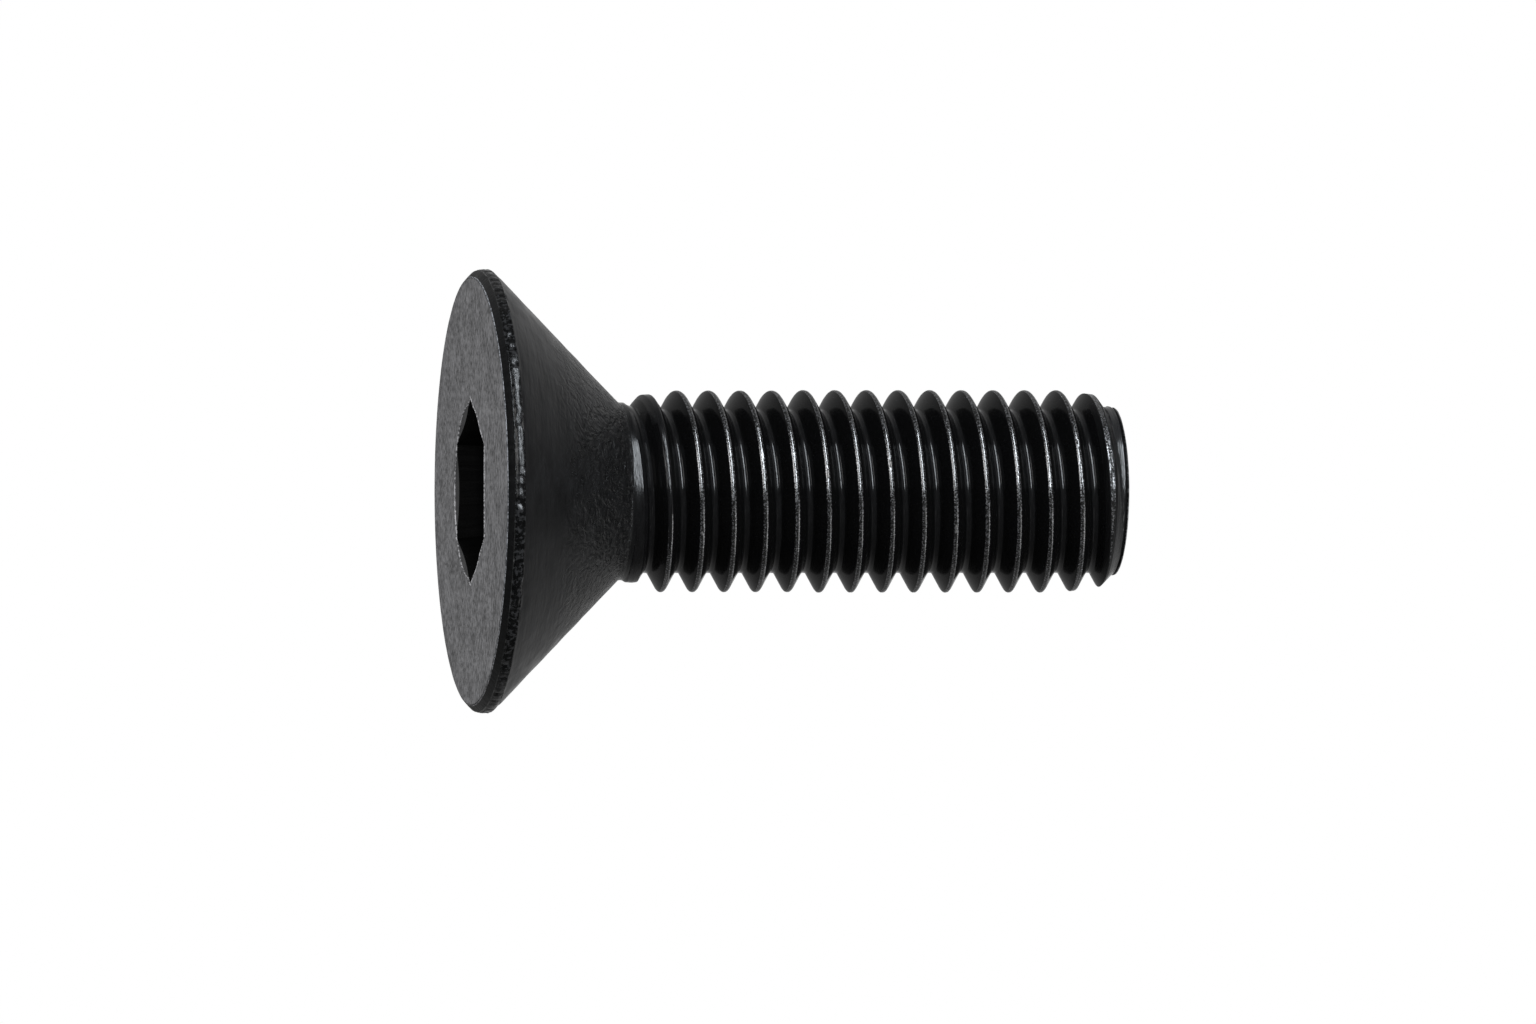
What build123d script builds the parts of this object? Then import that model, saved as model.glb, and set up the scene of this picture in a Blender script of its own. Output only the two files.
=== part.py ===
"""Countersunk screw with a hexagon socket, M8 x 1.25, threaded up to its head.

Millimetres. The screw stands on the flat of its head: the origin is the centre of that flat,
and +Z runs along the axis to the point.
"""
from math import ceil, floor, radians, tan
import os

from build123d import *

# head
head_diameter = 17.24
edge_bevel = 0.30  # 45 degree bevel round the flat
rim_height = 0.37  # plain rim between the bevel and the countersunk seat
seat_angle = 91  # whole angle of the seat
screw_length = 25.4  # the head is flush, so it counts

# neck, between the seat and the thread
neck_diameter = 6.90
neck_fillet = 0.40
neck_length = 0.06  # plain part past the fillet

# thread, right-handed
thread_diameter = 7.832  # over the crests
thread_pitch = 1.25
thread_angle = 60
crest_width = 0.156
root_width = 0.218
crest_height = 7.475  # of one crest over the +X axis, which sets where the helix starts
crest_runout = 1.40  # the crests rise from the neck over this length
root_runout = 0.75  # and the groove comes out of the neck over this one
ridge_sunk = 0.06  # the ridge goes this far into the core that it is joined to
ridge_proud = 0.04  # and is made this far proud of its crest, then trimmed

# point
last_turn_diameter = 7.50  # the last turn is not quite full
last_turn_length = 1.58
point_diameter = 6.60
point_land = 0.20  # plain end past the 45 degree chamfer

# socket
socket_across_flats = 6.06
socket_depth = 4.20  # of the full hexagon
mouth_across_flats = 6.33  # the flats lean out towards the mouth
mouth_depth = 0.90
mouth_bevel_diameter = 7.02
mouth_bevel_angle = 122
socket_bottom_angle = 120

head_radius = head_diameter / 2
neck_radius = neck_diameter / 2
crest_radius = thread_diameter / 2
flank_slope = tan(radians(thread_angle / 2))
thread_depth = (thread_pitch - crest_width - root_width) / 2 / flank_slope
root_radius = crest_radius - thread_depth
seat_start = edge_bevel + rim_height
seat_end = seat_start + (head_radius - neck_radius) / tan(radians(seat_angle / 2))
neck_end = seat_end + neck_fillet * tan(radians(seat_angle / 4)) + neck_length


def make_core():
    """The head, the neck and the shank at the bottom of the thread."""
    with BuildPart() as core:
        with BuildSketch(Plane.XZ):
            with BuildLine():
                Polyline(
                    (0, 0),
                    (head_radius - edge_bevel, 0),
                    (head_radius, edge_bevel),
                    (head_radius, seat_start),
                    (neck_radius, seat_end),
                    (neck_radius, neck_end),
                    (root_radius, neck_end + root_runout),
                    (root_radius, screw_length),
                    (0, screw_length),
                    close=True,
                )
            make_face()
        revolve(axis=Axis.Z)
        circles = core.edges().filter_by(GeomType.CIRCLE)
        inside_corner = circles.sort_by(lambda circle: abs(circle.arc_center.Z - seat_end))[0]
        fillet(inside_corner, neck_fillet)
    return core.part


def make_envelope():
    """What the thread's crests fill: the run-out, the full diameter and the chamfered point."""
    runout_rise = (crest_radius - neck_radius) / crest_runout
    thread_full = neck_end + crest_runout
    inside_head = thread_full - thread_depth / runout_rise
    last_turn_radius = last_turn_diameter / 2
    point_radius = point_diameter / 2
    chamfer_end = screw_length - point_land
    chamfer_start = chamfer_end - (last_turn_radius - point_radius)
    with BuildPart() as envelope:
        with BuildSketch(Plane.XZ):
            with BuildLine():
                Polyline(
                    (0, inside_head),
                    (root_radius, inside_head),
                    (crest_radius, thread_full),
                    (crest_radius, chamfer_start - last_turn_length),
                    (last_turn_radius, chamfer_start),
                    (point_radius, chamfer_end),
                    (point_radius, screw_length),
                    (0, screw_length),
                    close=True,
                )
            make_face()
        revolve(axis=Axis.Z)
    return envelope.part


def make_turns():
    """The thread's ridge, one turn at a time, each trimmed by the envelope."""
    envelope = make_envelope()
    half_foot = (thread_pitch - root_width) / 2 + ridge_sunk * flank_slope
    half_tip = crest_width / 2 - ridge_proud * flank_slope
    inner_radius = root_radius - ridge_sunk
    outer_radius = crest_radius + ridge_proud
    turns_below = ceil((crest_height - envelope.bounding_box().min.Z + half_foot) / thread_pitch)
    turns_above = floor((screw_length + half_foot - crest_height) / thread_pitch)
    turns = []
    for count in range(-turns_below, turns_above + 1):
        start = crest_height + count * thread_pitch
        with BuildPart() as turn:
            with BuildLine() as path:
                Helix(thread_pitch, thread_pitch, root_radius, center=(0, 0, start))
            with BuildSketch(Plane.XZ):
                with BuildLine():
                    Polyline(
                        (inner_radius, start - half_foot),
                        (outer_radius, start - half_tip),
                        (outer_radius, start + half_tip),
                        (inner_radius, start + half_foot),
                        close=True,
                    )
                make_face()
            sweep(path=path.line, is_frenet=True)
            add(envelope, mode=Mode.INTERSECT)
        turns.append(turn.part)
    return turns


def make_socket():
    """The room that the key goes into, with its bevelled mouth and drilled bottom."""
    mouth_radius = mouth_bevel_diameter / 2
    drill_radius = socket_across_flats / 2
    with BuildPart() as socket:
        with BuildSketch():
            RegularPolygon(mouth_across_flats / 2, 6, major_radius=False)
        with BuildSketch(Plane.XY.offset(mouth_depth)):
            RegularPolygon(socket_across_flats / 2, 6, major_radius=False)
        loft(ruled=True)
        with BuildSketch(Plane.XY.offset(mouth_depth)):
            RegularPolygon(socket_across_flats / 2, 6, major_radius=False)
        extrude(amount=socket_depth - mouth_depth)
        with BuildSketch(Plane.XZ):
            with BuildLine():
                Polyline(
                    (0, 0),
                    (mouth_radius, 0),
                    (0, mouth_radius / tan(radians(mouth_bevel_angle / 2))),
                    close=True,
                )
            make_face()
            with BuildLine():
                Polyline(
                    (0, socket_depth),
                    (drill_radius, socket_depth),
                    (0, socket_depth + drill_radius / tan(radians(socket_bottom_angle / 2))),
                    close=True,
                )
            make_face()
        revolve(axis=Axis.Z)
    return socket.part


with BuildPart() as screw:
    add(make_core())
    add(make_turns())
    add(make_socket(), mode=Mode.SUBTRACT)

screw.part.label = "screw"
os.makedirs("parts", exist_ok=True)
export_step(screw.part, "parts/screw.step")
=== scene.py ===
"""The looks of the countersunk socket screw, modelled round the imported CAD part.

The screw's sizes are millimetres, like the CAD's, and MM turns them into Blender's metres. The
lamps and the floor are given in metres. The screw stands on its head with its axis along +Z, so
heights run from the flat of the head up its seat, and the socket's depths run the same way.
"""
import math

import bpy
import numpy as np
from mathutils import Matrix, Vector


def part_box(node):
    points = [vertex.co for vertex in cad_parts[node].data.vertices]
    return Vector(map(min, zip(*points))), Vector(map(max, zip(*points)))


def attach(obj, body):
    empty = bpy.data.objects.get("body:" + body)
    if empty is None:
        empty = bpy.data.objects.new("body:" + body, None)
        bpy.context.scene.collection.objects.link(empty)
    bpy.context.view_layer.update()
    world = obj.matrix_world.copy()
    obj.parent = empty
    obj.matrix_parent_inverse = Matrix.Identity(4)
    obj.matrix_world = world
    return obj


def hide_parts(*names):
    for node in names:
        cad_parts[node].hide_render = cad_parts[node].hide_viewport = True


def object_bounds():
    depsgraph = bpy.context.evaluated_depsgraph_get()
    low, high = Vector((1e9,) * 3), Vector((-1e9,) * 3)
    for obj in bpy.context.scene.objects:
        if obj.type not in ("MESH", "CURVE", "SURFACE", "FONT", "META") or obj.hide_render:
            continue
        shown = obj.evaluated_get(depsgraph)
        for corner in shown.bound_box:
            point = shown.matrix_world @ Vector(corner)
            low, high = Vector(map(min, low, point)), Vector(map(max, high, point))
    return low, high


MM = 0.001
SEED = 8

# mesh
SHANK_COLUMNS = 216
HEAD_COLUMNS = 2 * SHANK_COLUMNS
SHARP_ANGLE = 38  # degrees; edges that turn by more aren't smoothed
SAME_HEIGHT = 1e-6  # a row this near to a level ring counts as on it

# socket, with its corners on the +X and -X axes
SOCKET_APOTHEM = 3.03
SOCKET_DEPTH = 4.20
SOCKET_BOTTOM_ANGLE = 120
MOUTH_APOTHEM = 3.165
MOUTH_DEPTH = 0.90
MOUTH_BEVEL_RADIUS = 3.37
MOUTH_BEVEL_SHIFT = 0.20  # the bevel is off centre, towards +Y
MOUTH_BEVEL_ANGLE = 155
LEAST_BEVEL = 0.012  # depth of the mouth's edge at the corners, which the bevel doesn't reach
BURR = 0.035  # raised round the mouth by the broach
DRILL_SHARES = (0.2, 0.45, 0.7, 0.9, 0.99)  # of the way from the drilled tip to the flats
FLATS_FOOT = 0.999  # the foot of the flats is drawn in by a hair
FLATS_HEIGHTS = (4.1, 3.4, 2.6, 1.8, 1.2, MOUTH_DEPTH)
MOUTH_SHARES = (0.75, 0.5, 0.25, 0.1, 0.0)  # of the way from the bevel to the mouth's depth
MOUTH_RINGS = (  # distance outside the mouth, height, finish
    (-0.012, 0.008, "mouth"),
    (0.004, -BURR, "lip"),
    (0.03, -0.3 * BURR, "lip"),
    (0.05, 0, "face"),
)

# flat of the head and its bevel
EDGE_BEVEL = 0.30
FLAT_BORDER = 0.08  # left inside the bevel for the rings of the corner
FLAT_SHARES = (0.2, 0.45, 0.7, 0.9)  # of the way from the mouth to that border
CORNER_RINGS = (  # inset from the edge of the flat, height, depth of the dents, finish
    (0.05, 0, 0, "face"),
    (0.012, 0.006, 0.02, "face"),
    (-0.022, 0.034, 0.02, "lip"),
)
BEVEL_INSETS = (0.16, 0.05)

# rim, beaten into beads with gaps of one column between them
RIM_HEIGHT = 0.37
SHALLOWEST_GAP = 0.3  # as a share of the deepest
GAP_SHOULDER = 0.15  # how far the columns beside a gap sink with it, as a share of its depth
BEAD_STEPS = (3, 8)  # columns from gap to gap, the second number left out
BRUISE_DEPTH = 0.010
RIM_RINGS = (  # height past the bevel, inset, depth of the gaps
    (-0.02, 0.06, 0.0),
    (0.02, 0.05, 0.02),
    (0.05, 0.015, 0.055),
    (0.11, 0.0, 0.075),
    (0.21, 0.0, 0.075),
    (0.28, 0.010, 0.045),
)

# countersunk seat and neck
SEAT_START = EDGE_BEVEL + RIM_HEIGHT
SEAT_ANGLE = 91
SEAT_EDGE_RINGS = (  # inset, height past the start of the seat, finish
    (0.002, -0.03, "edge"),
    (0.018, 0.0, "edge"),
    (0.06, 0.04, "seat"),
    (0.16, 0.14, "seat"),
)
NICK_DEPTH = 0.03
LUMP_HEIGHT = 0.012
SEAT_RINGS = 24
SEAT_FIRST_SHARE = 0.055  # of the way from the rim to the neck
HAMMER_DEPTH = 0.010
SEAT_HOLLOW = 0.01  # at its middle
NECK_RADIUS = 3.45
NECK_FILLET = 0.25
NECK_LENGTH = 0.12
FILLET_RINGS = 6
FILLET_SEAT_RINGS = 4  # the others have the neck's finish

# thread, right-handed
PITCH = 1.25
CREST_RADIUS = 3.948
CREST_WIDTH = 0.132
CREST_ROUNDING = 0.11
CREST_HEIGHT = 7.475  # of one crest over the +X axis
CREST_RUNOUT = 1.40
ROOT_WIDTH = 0.212
ROOT_ROUNDING = 0.10
ROOT_RUNOUT = 0.75
FLANK_SLOPE = math.tan(math.radians(30))
THREAD_DEPTH = (PITCH - CREST_WIDTH - ROOT_WIDTH) / 2 / FLANK_SLOPE
ROOT_RADIUS = CREST_RADIUS - THREAD_DEPTH
RUNOUT_LEVEL = 0.8  # share of the run-out's slope that is taken off the top of each ridge
RUNOUT_ROUNDING = 0.12
TRIM_ROUNDING = 0.04
TRIM_MARGIN = 0.03  # a crest counts as cut short if it would stand this much prouder
SPARE_TURNS = 4
CORE_SUNK = 0.04  # the groove's bottom starts this far inside the neck

# rows of one turn: how far above the middle of its crest each one starts
HALF_ROWS = (0.032, 0.062, 0.092, 0.13, 0.29, 0.45, 0.51, 0.565)
ROWS = (0.0, *HALF_ROWS, PITCH / 2, *(PITCH - place for place in reversed(HALF_ROWS)))
# their finishes, from the middle of the crest to the middle of the root
ROW_FINISHES = ("seam",) * 2 + ("crest",) * 2 + ("thread",) * 4 + ("root",) * 2
SEAM_DEPTH = 0.020  # in the middle row of the crest
LIP_DEPTHS = (0.002, 0.003, 0.004, 0.008)  # in each row of the crest, from its middle

# point
LAST_TURN_RADIUS = 3.75
LAST_TURN_LENGTH = 1.58
POINT_RADIUS = 3.30
POINT_LAND = 0.20
POINT_TURNED = 0.50  # the last of the groove is turned away
GROOVE_END = 0.04  # the groove comes out over this length
POINT_SUNK = 0.01  # and stays this far inside the point
CHAMFER_RINGS = 15
END_RINGS = (  # distance from the end, inset, finish
    (0.17, 0.005, "turned"),
    (0.13, 0.06, "point"),
    (0.09, 0.08, "point"),
    (0.07, 0.05, "point"),
    (0.045, 0.03, "crest"),
    (0.02, 0.04, "crest"),
    (0.0, 0.11, "point"),
)
END_WEAR = 0.01
END_SHARES = (0.85, 0.6, 0.25)


# ---------------------------------------------------------------- shapes

def smooth_least(first, second, width):
    """The lesser of the two, with a rounded corner where they cross."""
    near = np.maximum(width - np.abs(first - second), 0) / width
    return np.minimum(first, second) - near * near * width / 4


def smooth_most(first, second, width):
    """The greater of the two, rounded in the same way."""
    return -smooth_least(-first, -second, width)


def angles(columns):
    return np.arange(columns) * 2 * math.pi / columns


def upright(radius, turn, height):
    """Points from their distance to the Z axis, their angle round it and their height."""
    return np.stack([radius * np.cos(turn), radius * np.sin(turn), height], 1)


def hexagon(apothem, turn):
    """Radius of a hexagon with corners on the X axis."""
    sixth = math.pi / 3
    return apothem / np.cos(turn % sixth - sixth / 2)


def arc(centre, radius, start, end, steps):
    """Points (across, along) on an arc, given in degrees."""
    turns = np.radians(np.linspace(start, end, steps))
    return [(centre[0] + radius * math.cos(turn), centre[1] + radius * math.sin(turn)) for turn in turns]


def wavy(random, length, spread):
    """Random heights round a closed line, from about -1 to 1, smooth over `spread` steps."""
    steps = np.arange(length)
    distance = np.minimum(steps, length - steps)
    bell = np.exp(-0.5 * (distance / spread) ** 2)
    raw = random.standard_normal(length)
    smooth = np.real(np.fft.ifft(np.fft.fft(raw) * np.fft.fft(bell)))
    return smooth / (2 * smooth.std())


def beads(random, columns):
    """How deep each column of the beaten rim lies: 0 on the beads, up to 1 in the gaps between."""
    gaps = np.zeros(columns)
    place = 0
    while place < columns:
        depth = random.uniform(SHALLOWEST_GAP, 1)
        gaps[place] = depth
        gaps[[place - 1, (place + 1) % columns]] = GAP_SHOULDER * depth
        place += random.integers(*BEAD_STEPS)
    return gaps


class Skin:
    """A closed surface of rings round the Z axis, from one pole to the other."""

    def __init__(self, columns):
        self.columns = columns
        self.points = []
        self.faces = []
        self.finishes = []
        self.last = None

    def keep(self, points):
        """Adds a block of points and gives the index of its first."""
        start = sum(len(block) for block in self.points)
        self.points.append(points)
        return start

    def add_points(self, radius, height):
        """Indices of one new ring; radius and height may be numbers or one value per column."""
        turn = angles(self.columns)
        radius = np.broadcast_to(radius, turn.shape)
        height = np.broadcast_to(height, turn.shape)
        return self.keep(upright(radius, turn, height)) + np.arange(self.columns)

    def add_faces(self, corners, finish):
        """Faces from a list of rings, each of which gives every face one corner."""
        corners = np.stack(corners, 1)
        self.faces.extend(corners.tolist())
        self.finishes.extend([finish] * len(corners))

    def start(self, pole_height, radius, height, finish):
        """The first pole and the ring round it."""
        pole = self.keep(np.array([[0.0, 0.0, pole_height]]))
        self.last = self.add_points(radius, height)
        self.add_faces((np.full_like(self.last, pole), np.roll(self.last, -1), self.last), finish)

    def close(self, pole_height, finish):
        """The last pole."""
        pole = self.keep(np.array([[0.0, 0.0, pole_height]]))
        self.add_faces((self.last, np.roll(self.last, -1), np.full_like(self.last, pole)), finish)

    def ring(self, radius, height, finish):
        low, high = self.last, self.add_points(radius, height)
        self.add_faces((low, np.roll(low, -1), np.roll(high, -1), high), finish)
        self.last = high

    def halve(self, radius, height, finish):
        """A ring with half as many columns."""
        low = self.last
        self.columns //= 2
        high = self.add_points(radius, height)
        first, middle, second = low[0::2], low[1::2], np.roll(low[0::2], -1)
        following = np.roll(high, -1)
        for corners in ((first, middle, high), (middle, following, high), (middle, second, following)):
            self.add_faces(corners, finish)
        self.last = high

    def helix(self, bottom, top, thread):
        """Rows that climb with the thread from the last ring, which is level, to another level ring.

        Where a row lies below the lower ring or above the upper one, it runs along that ring.
        """
        first_turn = math.floor((bottom - CREST_HEIGHT) / PITCH) - 1
        last_turn = math.ceil((top - CREST_HEIGHT) / PITCH) + 1
        turns = np.arange(first_turn, last_turn)
        starts = (turns[:, None] * PITCH + np.array(ROWS)).ravel()
        kinds = np.tile(np.arange(len(ROWS)), len(turns))
        climb = np.arange(self.columns) / self.columns * PITCH
        heights = CREST_HEIGHT + starts[:, None] + climb
        along = np.repeat(turns - first_turn, len(ROWS))[:, None] * self.columns + np.arange(self.columns)
        turn = np.broadcast_to(angles(self.columns), heights.shape)
        row = np.broadcast_to(kinds[:, None], heights.shape)

        upper = self.add_points(thread.level(angles(self.columns), top), top)
        inside = (heights > bottom + SAME_HEIGHT) & (heights < top - SAME_HEIGHT)
        radius, cut_short = thread.radius(turn[inside], heights[inside], row[inside], along[inside])
        start = self.keep(upright(radius, turn[inside], heights[inside]))
        index = np.where(heights <= bottom + SAME_HEIGHT, self.last, upper)
        index[inside] = start + np.arange(inside.sum())
        cut = np.zeros(heights.shape, bool)
        cut[inside] = cut_short
        finishes = thread.finishes(kinds[:-1], kinds[1:], cut[:-1] | cut[1:], heights[:-1])

        # past its last column, a row goes on as the same row of the next turn
        beyond = np.concatenate([index, np.broadcast_to(upper, (len(ROWS), self.columns))])
        following = np.concatenate([index[:, 1:], beyond[len(ROWS):, :1]], 1)
        quads = np.stack([index[:-1], following[:-1], following[1:], index[1:]], -1).reshape(-1, 4)
        for quad, finish in zip(quads.tolist(), finishes.ravel().tolist()):
            corners = [corner for place, corner in enumerate(quad) if corner != quad[place - 1]]
            if len(corners) > 2:
                self.faces.append(corners)
                self.finishes.append(finish)
        self.last = upper

    def mesh(self, name, finishes):
        """The skin as a mesh with a material slot for each finish."""
        mesh = bpy.data.meshes.new(name)
        mesh.from_pydata((np.concatenate(self.points) * MM).tolist(), [], self.faces)
        for material in finishes.values():
            mesh.materials.append(material)
        slots = {finish: slot for slot, finish in enumerate(finishes)}
        mesh.polygons.foreach_set("material_index", [slots[finish] for finish in self.finishes])
        mesh.validate()
        mesh.shade_smooth()
        mesh.set_sharp_from_angle(angle=math.radians(SHARP_ANGLE))
        return mesh


class Thread:
    """The radius of the threaded shank at any place, with the rough crests of a rolled thread."""

    def __init__(self, random, length, neck_end):
        self.length = length
        self.neck_end = neck_end
        self.chamfer_end = length - POINT_LAND
        self.chamfer_start = self.chamfer_end - (LAST_TURN_RADIUS - POINT_RADIUS)
        around = (int(length / PITCH) + SPARE_TURNS) * SHANK_COLUMNS
        self.seam = np.maximum(wavy(random, around, spread=1.6), 0)
        self.lips = [wavy(random, around, spread=1.0) for _ in ROWS]

    def core(self, height):
        """The groove's bottom: it comes out of the neck and stops short of the turned end."""
        end = self.length - POINT_TURNED
        places = [self.neck_end, self.neck_end + ROOT_RUNOUT, end, end + GROOVE_END]
        radii = [NECK_RADIUS - CORE_SUNK, ROOT_RADIUS, ROOT_RADIUS, POINT_RADIUS - POINT_SUNK]
        return np.interp(height, places, radii)

    def envelope(self, height):
        """What the crests fill: the run-out, the full diameter, the lower last turn and the chamfer."""
        places = [
            self.neck_end,
            self.neck_end + CREST_RUNOUT,
            self.chamfer_start - LAST_TURN_LENGTH,
            self.chamfer_start,
            self.chamfer_end,
            self.length,
        ]
        radii = [NECK_RADIUS, CREST_RADIUS, CREST_RADIUS, LAST_TURN_RADIUS, POINT_RADIUS, POINT_RADIUS]
        return np.interp(height, places, radii)

    def wear(self, row, along):
        """How deep the rolled-over lips of the crest lie, and the seam left between them."""
        depth = np.zeros(len(row))
        for kind, lip in enumerate(self.lips):
            from_crest = min(kind, len(ROWS) - kind)
            if from_crest < len(LIP_DEPTHS):
                chosen = row == kind
                where = along[chosen] % len(lip)
                depth[chosen] = LIP_DEPTHS[from_crest] * np.abs(lip[where])
                if from_crest == 0:
                    depth[chosen] += SEAM_DEPTH * self.seam[where]
        return depth

    def finishes(self, low_row, high_row, cut_short, height):
        """The finish of each face, from its two rows and from whether its crest is cut short."""
        low_step = np.minimum(low_row, len(ROWS) - low_row)
        high_step = np.minimum(high_row, len(ROWS) - high_row)
        from_crest = np.maximum(low_step, high_step)[:, None]
        names = np.broadcast_to(np.array(ROW_FINISHES)[from_crest], height.shape).copy()
        near_neck = height < self.length / 2
        names[cut_short & near_neck] = "neck"
        names[cut_short & ~near_neck & (from_crest >= len(LIP_DEPTHS))] = "point"
        return names

    def radius(self, turn, height, row=None, along=None):
        """The radius, and where the envelope cuts the crest short; worn only where rows are given."""
        past_crest = (height - CREST_HEIGHT - turn / (2 * math.pi) * PITCH + PITCH / 2) % PITCH - PITCH / 2
        flank = CREST_RADIUS - (np.abs(past_crest) - CREST_WIDTH / 2) / FLANK_SLOPE
        profile = smooth_least(flank, CREST_RADIUS, CREST_ROUNDING)
        profile = smooth_most(profile, ROOT_RADIUS, ROOT_ROUNDING)
        near_neck = height < self.length / 2
        limit = self.envelope(np.where(near_neck, height - RUNOUT_LEVEL * past_crest, height))
        trimmed = smooth_least(profile, limit, np.where(near_neck, RUNOUT_ROUNDING, TRIM_ROUNDING))
        cut_short = profile > limit + TRIM_MARGIN
        if row is not None:
            trimmed = trimmed - np.where(cut_short & near_neck, 0, self.wear(row, along))
        return smooth_most(trimmed, self.core(height), TRIM_ROUNDING), cut_short

    def level(self, turn, height):
        """The radius all the way round one level ring."""
        return self.radius(turn, np.full_like(turn, height))[0]


def add_socket(skin):
    """From the drilled bottom along the six flats to the bevelled mouth, whose radius it gives."""
    turn = angles(skin.columns)
    drill_depth = SOCKET_APOTHEM / math.tan(math.radians(SOCKET_BOTTOM_ANGLE / 2))
    drill_tip = SOCKET_DEPTH + drill_depth
    drilled = [(SOCKET_APOTHEM * share, drill_tip - drill_depth * share) for share in DRILL_SHARES]
    skin.start(drill_tip, *drilled[0], "socket")
    for radius, height in drilled[1:]:
        skin.ring(radius, height, "socket")
    flats = hexagon(SOCKET_APOTHEM, turn)
    skin.ring(flats * FLATS_FOOT, SOCKET_DEPTH, "socket")
    for height in FLATS_HEIGHTS:
        skin.ring(flats, height, "socket")

    # the upper flats lean out, and the bevel's cone, off centre, cuts them at bevel_depth
    lean = (MOUTH_APOTHEM - SOCKET_APOTHEM) / MOUTH_DEPTH
    bevel = math.tan(math.radians(MOUTH_BEVEL_ANGLE / 2))
    per_apothem = hexagon(1, turn)
    across = MOUTH_BEVEL_SHIFT * np.cos(turn)
    circle = MOUTH_BEVEL_SHIFT * np.sin(turn) + np.sqrt(MOUTH_BEVEL_RADIUS ** 2 - across ** 2)
    bevel_depth = (circle - MOUTH_APOTHEM * per_apothem) / (bevel - lean * per_apothem)
    bevel_depth = np.maximum(bevel_depth, LEAST_BEVEL)
    for share in MOUTH_SHARES:
        height = bevel_depth + (MOUTH_DEPTH - bevel_depth) * share
        skin.ring((MOUTH_APOTHEM - lean * height) * per_apothem, height, "socket")
    mouth = np.maximum(circle, MOUTH_APOTHEM * per_apothem)
    inner = (MOUTH_APOTHEM - lean * bevel_depth) * per_apothem
    skin.ring((mouth + inner) / 2, bevel_depth / 2, "mouth")
    for outset, height, finish in MOUTH_RINGS:
        skin.ring(mouth + outset, height, finish)
    return mouth


def add_flat(skin, head_radius, mouth, random):
    """The flat of the head, its dented edge and the bevel."""
    flat_radius = head_radius - EDGE_BEVEL
    for share in FLAT_SHARES:
        skin.ring(mouth + (flat_radius - FLAT_BORDER - mouth) * share, 0, "face")
    dents = np.minimum(wavy(random, skin.columns, spread=2.5), 0)
    for inset, height, dent_depth, finish in CORNER_RINGS:
        skin.ring(flat_radius - inset + dent_depth * dents, height, finish)
    for inset in BEVEL_INSETS:
        skin.ring(head_radius - inset, EDGE_BEVEL - inset, "rim")


def add_rim(skin, head_radius, random):
    """The beaten rim, with bruises between and on its beads."""
    gaps = beads(random, skin.columns)
    for height, inset, gap_depth in RIM_RINGS:
        bruise = np.abs(wavy(random, skin.columns, spread=1.2))
        skin.ring(
            head_radius - inset - gap_depth * gaps - BRUISE_DEPTH * bruise,
            EDGE_BEVEL + height,
            "edge",
        )


def add_seat(skin, head_radius, random):
    """The seat, from its nicked edge to the fillet and the neck; gives the height where the neck ends."""
    lumps = wavy(random, skin.columns, spread=5)
    for inset, rise, finish in SEAT_EDGE_RINGS:
        nick = np.minimum(lumps + wavy(random, skin.columns, spread=1.8), 0)
        skin.ring(head_radius - inset + NICK_DEPTH * nick, SEAT_START + rise - LUMP_HEIGHT * lumps, finish)
    lean = math.radians(SEAT_ANGLE / 2)
    slope = 1 / math.tan(lean)
    reach = head_radius - NECK_RADIUS
    tangent = NECK_FILLET * math.tan(lean / 2)
    tangent_share = 1 - tangent * math.sin(lean) / reach  # where the fillet starts
    hammered = [wavy(random, skin.columns, spread=14) for _ in range(SEAT_RINGS)]
    for number, share in enumerate(np.linspace(SEAT_FIRST_SHARE, tangent_share, SEAT_RINGS)):
        fade = math.sin(math.pi * number / (SEAT_RINGS - 1))
        uneven = HAMMER_DEPTH * fade * (hammered[number] + hammered[max(number - 1, 0)])
        skin.ring(
            head_radius - reach * share - uneven - SEAT_HOLLOW * fade,
            SEAT_START + reach * slope * share,
            "seat",
        )
    fillet_end = SEAT_START + reach * slope + tangent
    centre = (NECK_RADIUS + NECK_FILLET, fillet_end)
    fillet = arc(centre, NECK_FILLET, 180 + SEAT_ANGLE / 2, 180, FILLET_RINGS + 1)[1:]
    for number, (across, along) in enumerate(fillet):
        skin.ring(across, along, "seat" if number < FILLET_SEAT_RINGS else "neck")
    return fillet_end + NECK_LENGTH


def add_point(skin, thread, random):
    """The chamfer, the turned end with its thin bead, and the flat face."""
    turn = angles(skin.columns)
    for height in np.linspace(thread.chamfer_start, thread.chamfer_end, CHAMFER_RINGS + 1)[1:]:
        finish = "point" if height < thread.length - POINT_TURNED else "turned"
        skin.ring(thread.level(turn, height), height, finish)
    worn = np.abs(wavy(random, skin.columns, spread=1.0))
    for drop, inset, finish in END_RINGS:
        skin.ring(POINT_RADIUS - inset - END_WEAR * worn, thread.length - drop, finish)
    for share in END_SHARES:
        skin.ring(POINT_RADIUS * share, thread.length, "point")
    skin.close(thread.length, "point")


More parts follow.
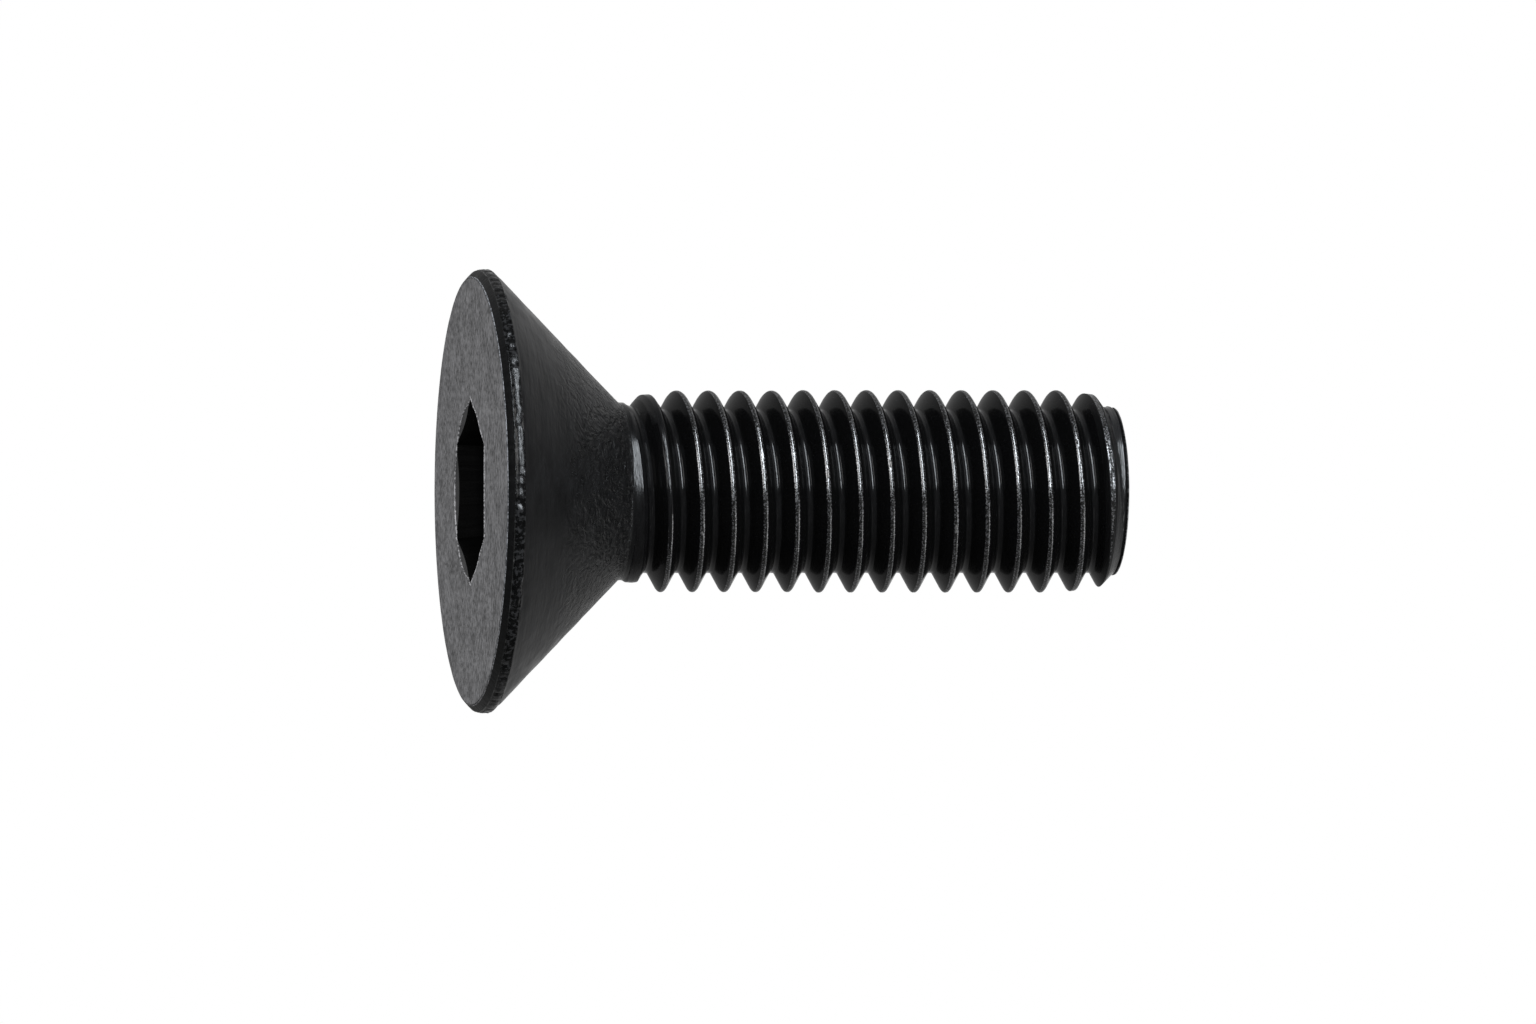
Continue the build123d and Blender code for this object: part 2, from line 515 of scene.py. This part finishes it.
def make_screw(finishes):
    low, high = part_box("screw")
    head_radius = (high.x - low.x) / 2 / MM
    length = high.z / MM
    random = np.random.default_rng(SEED)
    skin = Skin(HEAD_COLUMNS)
    mouth = add_socket(skin)
    add_flat(skin, head_radius, mouth, random)
    add_rim(skin, head_radius, random)
    neck_end = add_seat(skin, head_radius, random)
    skin.halve(NECK_RADIUS, neck_end, "neck")
    thread = Thread(random, length, neck_end)
    skin.helix(neck_end, thread.chamfer_start, thread)
    add_point(skin, thread, random)
    screw = bpy.data.objects.new("screw_finish", skin.mesh("screw_finish", finishes))
    bpy.context.scene.collection.objects.link(screw)
    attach(screw, "root")
    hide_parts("screw")


# ---------------------------------------------------------------- finishes

BLUE_TINT = 1.04  # of every grey
NOISE_SPAN = (0.3, 0.7)  # where nearly all values of a noise lie


def grey(level):
    return (level, level, level * BLUE_TINT, 1.0)


class Nodes:
    """Short ways to add and join the nodes of a material or of the world."""

    def __init__(self, owner):
        owner.use_nodes = True
        self.tree = owner.node_tree

    def add(self, kind, **settings):
        node = self.tree.nodes.new(kind)
        for name, value in settings.items():
            setattr(node, name, value)
        return node

    def link(self, start, end):
        self.tree.links.new(start, end)

    def feed(self, socket, value):
        """Gives a socket a number, a colour or another node's output."""
        if isinstance(value, bpy.types.NodeSocket):
            self.link(value, socket)
        else:
            socket.default_value = value

    def math(self, operation, first, second=0.0, **settings):
        node = self.add("ShaderNodeMath", operation=operation, **settings)
        self.feed(node.inputs[0], first)
        self.feed(node.inputs[1], second)
        return node.outputs[0]

    def between(self, value, low, high, to_low=0.0, to_high=1.0):
        """value from low..high to to_low..to_high, with soft bends, held past the ends."""
        node = self.add("ShaderNodeMapRange", interpolation_type="SMOOTHSTEP")
        for socket, number in zip(node.inputs, (value, low, high, to_low, to_high)):
            self.feed(socket, number)
        return node.outputs[0]


class Finish(Nodes):
    """One procedural material on a Principled shader; lengths in its calls are millimetres."""

    def __init__(self, name, **settings):
        self.material = bpy.data.materials.new(name)
        super().__init__(self.material)
        self.shader = self.tree.nodes["Principled BSDF"]
        for socket, value in settings.items():
            self.shader.inputs[socket.replace("_", " ")].default_value = value
        self.here = self.add("ShaderNodeTexCoord").outputs["Object"]
        apart = self.add("ShaderNodeSeparateXYZ")
        self.link(self.here, apart.inputs[0])
        self.x, self.y, self.z = apart.outputs

    def vector(self, x, y, z):
        node = self.add("ShaderNodeCombineXYZ")
        for socket, value in zip(node.inputs, (x, y, z)):
            self.feed(socket, value)
        return node.outputs[0]

    def stretched(self, x, y, z):
        """The place with each of its lengths multiplied."""
        return self.vector(
            self.math("MULTIPLY", self.x, x),
            self.math("MULTIPLY", self.y, y),
            self.math("MULTIPLY", self.z, z),
        )

    def around(self, radius, across, along):
        """The place, with lengths round the axis multiplied by `across` and lengths along it by `along`.

        It has no seam, because it lies on a cylinder of that radius, made narrower by `across`.
        """
        squares = [self.math("MULTIPLY", side, side) for side in (self.x, self.y)]
        distance = self.math("SQRT", self.math("ADD", *squares))
        span = radius * MM * across
        return self.vector(
            self.math("MULTIPLY", self.math("DIVIDE", self.x, distance), span),
            self.math("MULTIPLY", self.math("DIVIDE", self.y, distance), span),
            self.math("MULTIPLY", self.z, along),
        )

    def noise(self, size, detail=3.0, roughness=0.55, distortion=0.0, place=None):
        """Noise whose largest features are about `size` mm."""
        node = self.add("ShaderNodeTexNoise")
        self.link(place or self.here, node.inputs["Vector"])
        node.inputs["Scale"].default_value = 1 / (size * MM)
        node.inputs["Detail"].default_value = detail
        node.inputs["Roughness"].default_value = roughness
        node.inputs["Distortion"].default_value = distortion
        return node.outputs["Fac"]

    def spread(self, noise, to_low, to_high):
        """A noise, mapped from the values that it usually has to to_low..to_high."""
        return self.between(noise, *NOISE_SPAN, to_low, to_high)

    def mix(self, share, dark, light):
        """A grey between two, each of them a level or another node's colour."""
        node = self.add("ShaderNodeMix", data_type="RGBA")
        self.feed(node.inputs[0], share)
        for socket, colour in ((node.inputs[6], dark), (node.inputs[7], light)):
            self.feed(socket, colour if isinstance(colour, bpy.types.NodeSocket) else grey(colour))
        return node.outputs[2]

    def bump(self, height, depth, under=None):
        """Relief of `depth` mm, on top of another relief if `under` gives one."""
        node = self.add("ShaderNodeBump")
        node.inputs["Distance"].default_value = depth * MM
        self.link(height, node.inputs["Height"])
        if under is not None:
            self.link(under, node.inputs["Normal"])
        return node.outputs["Normal"]

    def shade(self, colour, rough, normal, metallic=None):
        """Joins what was made to the shader, and gives the material."""
        if metallic is not None:
            self.link(metallic, self.shader.inputs["Metallic"])
        self.link(colour, self.shader.inputs["Base Color"])
        self.link(rough, self.shader.inputs["Roughness"])
        self.link(normal, self.shader.inputs["Normal"])
        return self.material


def face_finish():
    """Tumbled: matte, with a fine grain and small pits."""
    oxide = Finish("oxide_face", Specular_IOR_Level=0.5)
    grain = oxide.noise(0.16, detail=5, roughness=0.7, place=oxide.stretched(0.7, 0.7, 1))
    cloud = oxide.noise(1.2, detail=4)
    unpitted = oxide.between(oxide.noise(0.34), 0.29, 0.34)
    worn = oxide.math("ADD", oxide.math("MULTIPLY", grain, 0.7), oxide.math("MULTIPLY", cloud, 0.3))
    colour = oxide.mix(oxide.between(worn, 0.36, 0.64), dark=0.065, light=0.30)
    colour = oxide.mix(unpitted, dark=0.05, light=colour)
    rough = oxide.spread(cloud, 0.46, 0.56)
    normal = oxide.bump(grain, 0.015)
    normal = oxide.bump(unpitted, 0.010, under=normal)
    return oxide.shade(colour, rough, normal)


def lip_finish():
    """The edges of the flat, where the oxide has rubbed light; the pale flecks are partly that wear and
    partly a painted highlight along the edges.
    """
    oxide = Finish("oxide_lip_wear_and_highlight", Specular_IOR_Level=0.6)
    flecks = oxide.between(oxide.noise(0.16), 0.42, 0.58)
    grain = oxide.noise(0.06)
    # pale grey up to 0.65: partly rubbed oxide, partly a painted highlight for the bright line that these
    # edges catch
    colour = oxide.mix(flecks, dark=0.15, light=0.65)
    rough = oxide.spread(grain, 0.26, 0.40)
    normal = oxide.bump(grain, 0.008)
    return oxide.shade(colour, rough, normal)


def rim_finish():
    """The bevel round the flat: turned, with fine lines that cross it."""
    oxide = Finish("oxide_rim", Specular_IOR_Level=0.38)
    lines = oxide.noise(0.16, place=oxide.around(8.6, across=1.0, along=0.35))
    grain = oxide.noise(0.06)
    colour = oxide.mix(oxide.math("MULTIPLY", lines, grain), dark=0.003, light=0.02)
    rough = oxide.spread(lines, 0.30, 0.48)
    normal = oxide.bump(lines, 0.020)
    normal = oxide.bump(grain, 0.004, under=normal)
    return oxide.shade(colour, rough, normal)


def edge_finish():
    """The beaten rim: smooth, with flecks where the oxide has worn."""
    oxide = Finish("oxide_edge", Specular_IOR_Level=0.32)
    flecks = oxide.between(oxide.noise(0.16), 0.50, 0.62)
    grain = oxide.noise(0.12)
    colour = oxide.mix(flecks, dark=0.003, light=0.03)
    rough = oxide.between(flecks, 0.0, 1.0, 0.26, 0.14)
    normal = oxide.bump(grain, 0.007)
    return oxide.shade(colour, rough, normal)


def seat_finish():
    """Turned and oiled: faint streaks round the cone, wrinkled towards the neck."""
    oxide = Finish("oxide_seat", Specular_IOR_Level=0.45)
    streaks = oxide.noise(0.16, place=oxide.around(6.0, across=0.16, along=1.0))
    place = oxide.around(6.0, across=0.6, along=1.0)
    wrinkles = oxide.noise(0.26, roughness=0.5, distortion=1.2, place=place)
    near_neck = oxide.between(oxide.z, 1.8 * MM, 4.8 * MM)
    mottle = oxide.noise(0.8)
    mottled = oxide.math("MULTIPLY", streaks, mottle)
    colour = oxide.mix(mottled, dark=0.003, light=0.022)
    smoother = oxide.math("MULTIPLY", near_neck, 0.03)
    rough = oxide.math("SUBTRACT", oxide.spread(mottle, 0.28, 0.38), smoother)
    normal = oxide.bump(mottled, 0.040)
    normal = oxide.bump(oxide.math("MULTIPLY", wrinkles, near_neck), 0.15, under=normal)
    return oxide.shade(colour, rough, normal)


def neck_finish():
    """Smoother than the seat, scuffed round the axis."""
    oxide = Finish("oxide_neck", Specular_IOR_Level=0.4)
    scuff = oxide.noise(0.10, place=oxide.around(3.5, across=0.15, along=1.0))
    colour = oxide.mix(scuff, dark=0.003, light=0.012)
    rough = oxide.spread(scuff, 0.14, 0.26)
    normal = oxide.bump(scuff, 0.014)
    return oxide.shade(colour, rough, normal)


def thread_finish():
    """Rolled: near black and smooth on the flanks."""
    oxide = Finish("oxide_thread", Specular_IOR_Level=0.13)
    grain = oxide.noise(0.12)
    colour = oxide.mix(grain, dark=0.002, light=0.006)
    rough = oxide.spread(grain, 0.12, 0.16)
    normal = oxide.bump(grain, 0.0015)
    return oxide.shade(colour, rough, normal)


def crest_finish(name, worn_most, relief):
    """Rolled over and rubbed: flecks of bare steel in the oxide."""
    oxide = Finish(name, Specular_IOR_Level=1.0, IOR=1.9)
    flecks = oxide.between(oxide.noise(0.07), 0.53, 0.60, 0.0, worn_most)
    grain = oxide.noise(0.07)
    colour = oxide.mix(flecks, dark=0.003, light=0.50)
    rough = oxide.between(grain, 0.35, 0.65, 0.14, 0.32)
    normal = oxide.bump(grain, relief)
    return oxide.shade(colour, rough, normal, metallic=flecks)


def root_finish():
    """Burnished by the tips of the rolling die."""
    oxide = Finish("oxide_root", Specular_IOR_Level=0.36)
    grain = oxide.noise(0.10, place=oxide.around(3.2, across=0.3, along=1.0))
    colour = oxide.mix(grain, dark=0.003, light=0.012)
    rough = oxide.spread(grain, 0.10, 0.20)
    normal = oxide.bump(grain, 0.003)
    return oxide.shade(colour, rough, normal)


def point_finish():
    """The chamfer and the end: dull, with fine rings."""
    oxide = Finish("oxide_point", Specular_IOR_Level=0.2)
    rings = oxide.noise(0.06, detail=2, place=oxide.stretched(0.03, 0.03, 1))
    grain = oxide.noise(0.08)
    colour = oxide.mix(rings, dark=0.002, light=0.010)
    rough = oxide.spread(grain, 0.34, 0.50)
    normal = oxide.bump(rings, 0.006)
    normal = oxide.bump(grain, 0.004, under=normal)
    return oxide.shade(colour, rough, normal)


def turned_finish():
    """The plain end: turned bright enough to catch the light in rings."""
    oxide = Finish("oxide_turned", Specular_IOR_Level=0.75)
    rings = oxide.noise(0.07, detail=2, place=oxide.stretched(0.03, 0.03, 1))
    grain = oxide.noise(0.10)
    colour = oxide.mix(rings, dark=0.002, light=0.03)
    rough = oxide.spread(grain, 0.14, 0.26)
    normal = oxide.bump(rings, 0.024)
    normal = oxide.bump(grain, 0.005, under=normal)
    return oxide.shade(colour, rough, normal)


def mouth_finish():
    """The bevel round the socket, greyer than the flats inside it."""
    oxide = Finish("oxide_mouth", Specular_IOR_Level=0.5)
    marks = oxide.noise(0.14, place=oxide.around(3.3, across=0.3, along=1.0))
    colour = oxide.mix(marks, dark=0.005, light=0.06)
    rough = oxide.spread(marks, 0.30, 0.44)
    normal = oxide.bump(marks, 0.010)
    return oxide.shade(colour, rough, normal)


def socket_finish():
    """Broached, dark and oily, with faint marks down the flats."""
    oxide = Finish("oxide_socket", Specular_IOR_Level=0.12)
    marks = oxide.noise(0.12, place=oxide.around(3.3, across=1.0, along=0.08))
    grain = oxide.noise(0.06)
    colour = oxide.mix(oxide.math("MULTIPLY", marks, grain), dark=0.0012, light=0.004)
    rough = oxide.spread(marks, 0.34, 0.50)
    normal = oxide.bump(marks, 0.010)
    return oxide.shade(colour, rough, normal)


def make_finishes():
    return {
        "socket": socket_finish(),
        "mouth": mouth_finish(),
        "face": face_finish(),
        "lip": lip_finish(),
        "rim": rim_finish(),
        "edge": edge_finish(),
        "seat": seat_finish(),
        "neck": neck_finish(),
        "thread": thread_finish(),
        "crest": crest_finish("oxide_crest", worn_most=0.9, relief=0.010),
        "seam": crest_finish("oxide_seam", worn_most=0.1, relief=0.004),
        "root": root_finish(),
        "point": point_finish(),
        "turned": turned_finish(),
    }


# ---------------------------------------------------------------- studio

FLOOR_REACH = 1.5
FLOOR_SIDES = 96
FLOOR_DROP = 0.01 * MM  # below the flat
FLOOR_OVERLAP = 0.05 * MM  # under the edge of the flat
FLOOR_GREY = (0.86, 0.86, 0.86, 1)
FLOOR_ROUGHNESS = 0.7

# where each part of the room starts and is full, in the X, Y or Z of a direction
SIDES_RAMP = (-0.3, 0.6)
WALL_RAMP = (0.88, 1.0)
HORIZON_RAMP = (0.0, 0.5)
BACKDROP_RAMP = (0.1, 0.7)
BACKDROP_FADE = (-0.3, 0.3, 1.0, 0.65)  # and what it fades from and to

CAMERA_TILT = 10.35  # degrees, which show a little of the flat
VIEW_WIDTH = 59.67 * MM
VIEW_OFFSET = Vector((0.80, 0, -0.98)) * MM  # of the picture's middle from the screw's
LENS = 800
SENSOR_WIDTH = 36
CLIP_START = 0.05


def floor_material():
    """Pale from above and clear from below."""
    material = bpy.data.materials.new("floor")
    nodes = Nodes(material)
    shader = nodes.tree.nodes["Principled BSDF"]
    shader.inputs["Base Color"].default_value = FLOOR_GREY
    shader.inputs["Roughness"].default_value = FLOOR_ROUGHNESS
    mix = nodes.add("ShaderNodeMixShader")
    nodes.link(nodes.add("ShaderNodeNewGeometry").outputs["Backfacing"], mix.inputs[0])
    nodes.link(shader.outputs[0], mix.inputs[1])
    nodes.link(nodes.add("ShaderNodeBsdfTransparent").outputs[0], mix.inputs[2])
    nodes.link(mix.outputs[0], nodes.tree.nodes["Material Output"].inputs["Surface"])
    return material


def make_floor():
    """A round floor, open under the head's flat."""
    low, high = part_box("screw")
    hole = (high.x - low.x) / 2 - EDGE_BEVEL * MM - FLOOR_OVERLAP
    height = low.z - FLOOR_DROP
    points = [
        (radius * math.cos(turn), radius * math.sin(turn), height)
        for radius in (hole, FLOOR_REACH)
        for turn in angles(FLOOR_SIDES)
    ]
    faces = []
    for side in range(FLOOR_SIDES):
        following = (side + 1) % FLOOR_SIDES
        faces.append((side, side + FLOOR_SIDES, following + FLOOR_SIDES, following))
    mesh = bpy.data.meshes.new("floor")
    mesh.from_pydata(points, [], faces)
    mesh.materials.append(floor_material())
    floor = bpy.data.objects.new("floor", mesh)
    floor.visible_glossy = False
    bpy.context.scene.collection.objects.link(floor)


def make_world(ambient, front, beside, behind, below):
    """White to the camera and an even grey to matte surfaces.

    Shiny ones see a room: dark in front of the screw, and above the horizon grey beside it and
    white behind it. Below the horizon, where the flat of the head looks, only a dim backdrop stands
    behind the screw, dimmer still towards +X.
    """
    world = bpy.data.worlds.new("studio")
    bpy.context.scene.world = world
    nodes = Nodes(world)

    def blend(share, low, high):
        rest = nodes.math("MULTIPLY", nodes.math("SUBTRACT", 1, share), low)
        return nodes.math("ADD", rest, nodes.math("MULTIPLY", share, high))

    apart = nodes.add("ShaderNodeSeparateXYZ")
    nodes.link(nodes.add("ShaderNodeTexCoord").outputs["Generated"], apart.inputs[0])
    way_x, way_y, way_z = apart.outputs
    sides = nodes.between(way_y, *SIDES_RAMP, 0.0, beside)
    wall = nodes.between(way_y, *WALL_RAMP, 0.0, behind - beside)
    upper = nodes.math("MULTIPLY", nodes.math("ADD", sides, wall), nodes.between(way_z, *HORIZON_RAMP))
    backdrop = nodes.between(way_y, *BACKDROP_RAMP, 0.0, below)
    backdrop = nodes.math("MULTIPLY", backdrop, nodes.between(way_x, *BACKDROP_FADE))
    room = nodes.math("ADD", front, nodes.math("ADD", backdrop, upper))

    ray = nodes.add("ShaderNodeLightPath").outputs
    shiny = nodes.math("ADD", ray["Is Glossy Ray"], ray["Is Transmission Ray"], use_clamp=True)
    level = blend(ray["Is Camera Ray"], blend(shiny, ambient, room), 1)
    background = nodes.tree.nodes["Background"]
    background.inputs["Color"].default_value = (1, 1, 1, 1)
    nodes.link(level, background.inputs["Strength"])


def lamp(name, target, direction, distance, tall, wide, power, colour=(1, 1, 1)):
    """A soft box that faces the target from a direction, its tall side square to the screw's axis."""
    light = bpy.data.lights.new(name, "AREA")
    light.shape = "RECTANGLE"
    light.size = wide
    light.size_y = tall
    light.energy = power
    light.color = colour
    thing = bpy.data.objects.new(name, light)
    back = Vector(direction).normalized()
    side = Vector((0, 0, 1)).cross(back).cross(back).normalized()
    axes = Matrix((side, back.cross(side), back)).transposed().to_4x4()
    thing.matrix_world = Matrix.Translation(target + back * distance) @ axes
    thing.visible_camera = False
    bpy.context.scene.collection.objects.link(thing)


def make_lamps(target):
    cool = (0.88, 0.94, 1.0)
    lamp("key", target, (-0.60, -0.80, 0.16), distance=0.5, tall=0.62, wide=0.08, power=2.3, colour=cool)
    lamp("fill", target, (0.6, -0.45, 0.9), distance=0.6, tall=0.5, wide=0.3, power=0.5)
    lamp("front", target, (-0.35, -0.6, -0.7), distance=0.6, tall=0.4, wide=0.4, power=1.5)


def make_camera(middle):
    """The head to the left, from so far off that the view is almost parallel."""
    tilt = math.radians(CAMERA_TILT)
    right = Vector((0, -math.sin(tilt), math.cos(tilt)))
    up = Vector((-1, 0, 0))
    back = right.cross(up)
    camera = bpy.data.cameras.new("camera")
    camera.lens = LENS
    camera.sensor_width = SENSOR_WIDTH
    camera.clip_start = CLIP_START
    distance = VIEW_WIDTH * LENS / SENSOR_WIDTH
    thing = bpy.data.objects.new("camera", camera)
    axes = Matrix((right, up, back)).transposed().to_4x4()
    thing.matrix_world = Matrix.Translation(middle + VIEW_OFFSET + back * distance) @ axes
    bpy.context.scene.collection.objects.link(thing)
    bpy.context.scene.camera = thing


def corners(box):
    """The lowest and the highest corner of a box as plain lists."""
    return [list(corner) for corner in box]


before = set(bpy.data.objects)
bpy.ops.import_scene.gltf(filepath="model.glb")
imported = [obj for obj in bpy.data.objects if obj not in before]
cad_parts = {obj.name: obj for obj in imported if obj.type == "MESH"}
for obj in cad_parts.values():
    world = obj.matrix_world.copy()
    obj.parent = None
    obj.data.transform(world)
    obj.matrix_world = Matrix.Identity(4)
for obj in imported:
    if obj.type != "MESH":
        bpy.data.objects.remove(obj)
cad_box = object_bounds()
middle = (cad_box[0] + cad_box[1]) / 2

make_screw(make_finishes())
make_floor()
make_world(ambient=0.4, front=0.05, beside=0.16, behind=1.15, below=0.18)
make_lamps(middle)
make_camera(middle)
bpy.context.scene.view_settings.view_transform = "Standard"
